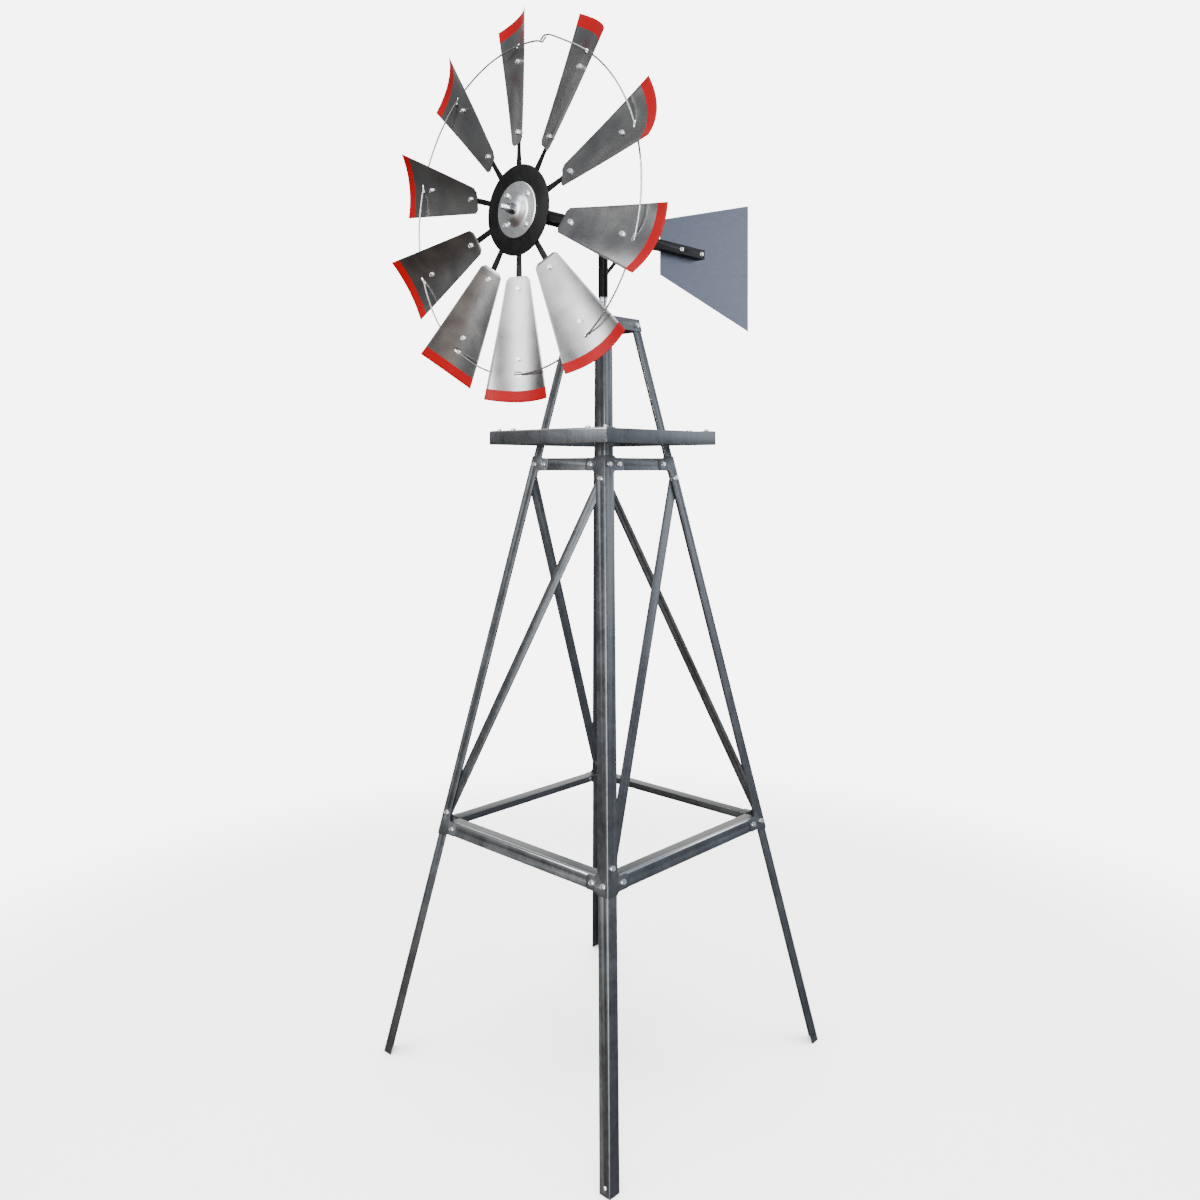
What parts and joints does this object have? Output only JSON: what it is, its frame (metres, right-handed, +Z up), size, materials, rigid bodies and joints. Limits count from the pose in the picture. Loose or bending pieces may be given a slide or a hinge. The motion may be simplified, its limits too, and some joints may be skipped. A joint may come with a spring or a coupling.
{
  "type": "garden windmill",
  "caption": "Backyard windmill: angle-iron tower with a square platform, a yawing head with a tail vane, and a bladed wheel that spins.",
  "frame": {"origin": "on the ground at the tower's axis, midway between the feet", "axes": "+Z up along the tower's axis, the wheel towards -Y and the tail vane towards +Y at rest"},
  "size_m": [0.8644, 1.007, 2.439],
  "materials": {
    "galvanised_steel": "dull galvanised",
    "blade_sheet": "bright galvanised sheet with painted tips",
    "vane_sheet": "satin galvanised sheet",
    "black_paint": "satin black",
    "polished_hub": "polished",
    "zinc_hardware": "bright zinc plated",
    "bright_steel": "ground",
    "bronze": "sintered",
    "wire": "drawn galvanised wire"
  },
  "bodies": {
    "tower": {"bottom_leg_front_right": "galvanised_steel", "bottom_leg_rear_right": "galvanised_steel", "bottom_leg_rear_left": "galvanised_steel", "bottom_leg_front_left": "galvanised_steel", "middle_leg_front_right": "galvanised_steel", "middle_leg_rear_right": "galvanised_steel", "middle_leg_rear_left": "galvanised_steel", "middle_leg_front_left": "galvanised_steel", "top_leg_front_right": "galvanised_steel", "top_leg_rear_right": "galvanised_steel", "top_leg_rear_left": "galvanised_steel", "top_leg_front_left": "galvanised_steel", "lower_strut_front": "galvanised_steel", "lower_strut_right": "galvanised_steel", "lower_strut_rear": "galvanised_steel", "lower_strut_left": "galvanised_steel", "upper_strut_front": "galvanised_steel", "upper_strut_right": "galvanised_steel", "upper_strut_rear": "galvanised_steel", "upper_strut_left": "galvanised_steel", "diagonal_braces": "galvanised_steel", "platform_rail_front": "galvanised_steel", "platform_rail_right": "galvanised_steel", "platform_rail_rear": "galvanised_steel", "platform_rail_left": "galvanised_steel", "platform_bearer_left": "galvanised_steel", "platform_bearer_right": "galvanised_steel", "platform_bolts": "zinc_hardware", "tower_bolts": "zinc_hardware", "top_cap": "galvanised_steel", "spindle": "zinc_hardware", "spindle_nuts": "zinc_hardware", "thrust_washer": "bright_steel"},
    "head": {"mast_tube": "black_paint", "mast_bushes": "bronze", "axle_housing": "black_paint", "axle_bearings": "bright_steel", "tail_boom": "black_paint", "boom_brace": "black_paint", "tail_vane": "vane_sheet", "vane_bolts": "zinc_hardware"},
    "wheel": {"axle": "bright_steel", "axle_collar": "bright_steel", "axle_nut": "zinc_hardware", "hub_flange": "polished_hub", "hub_ring": "black_paint", "hub_bolts": "zinc_hardware", "spokes": "black_paint", "blade_01": "blade_sheet", "blade_02": "blade_sheet", "blade_03": "blade_sheet", "blade_04": "blade_sheet", "blade_05": "blade_sheet", "blade_06": "blade_sheet", "blade_07": "blade_sheet", "blade_08": "blade_sheet", "blade_09": "blade_sheet", "blade_10": "blade_sheet", "blade_bolts": "zinc_hardware", "ring_wire": "wire"}
  },
  "joints": [
    {"name": "head_yaw", "type": "hinge", "parent": "tower", "child": "head", "pos_m": [0, 0, 1.9], "axis": [0, 0, 1], "continuous": true},
    {"name": "wheel_spin", "type": "hinge", "parent": "head", "child": "wheel", "pos_m": [0, -0.12, 2.004], "axis": [0, -1, 0], "continuous": true}
  ]
}
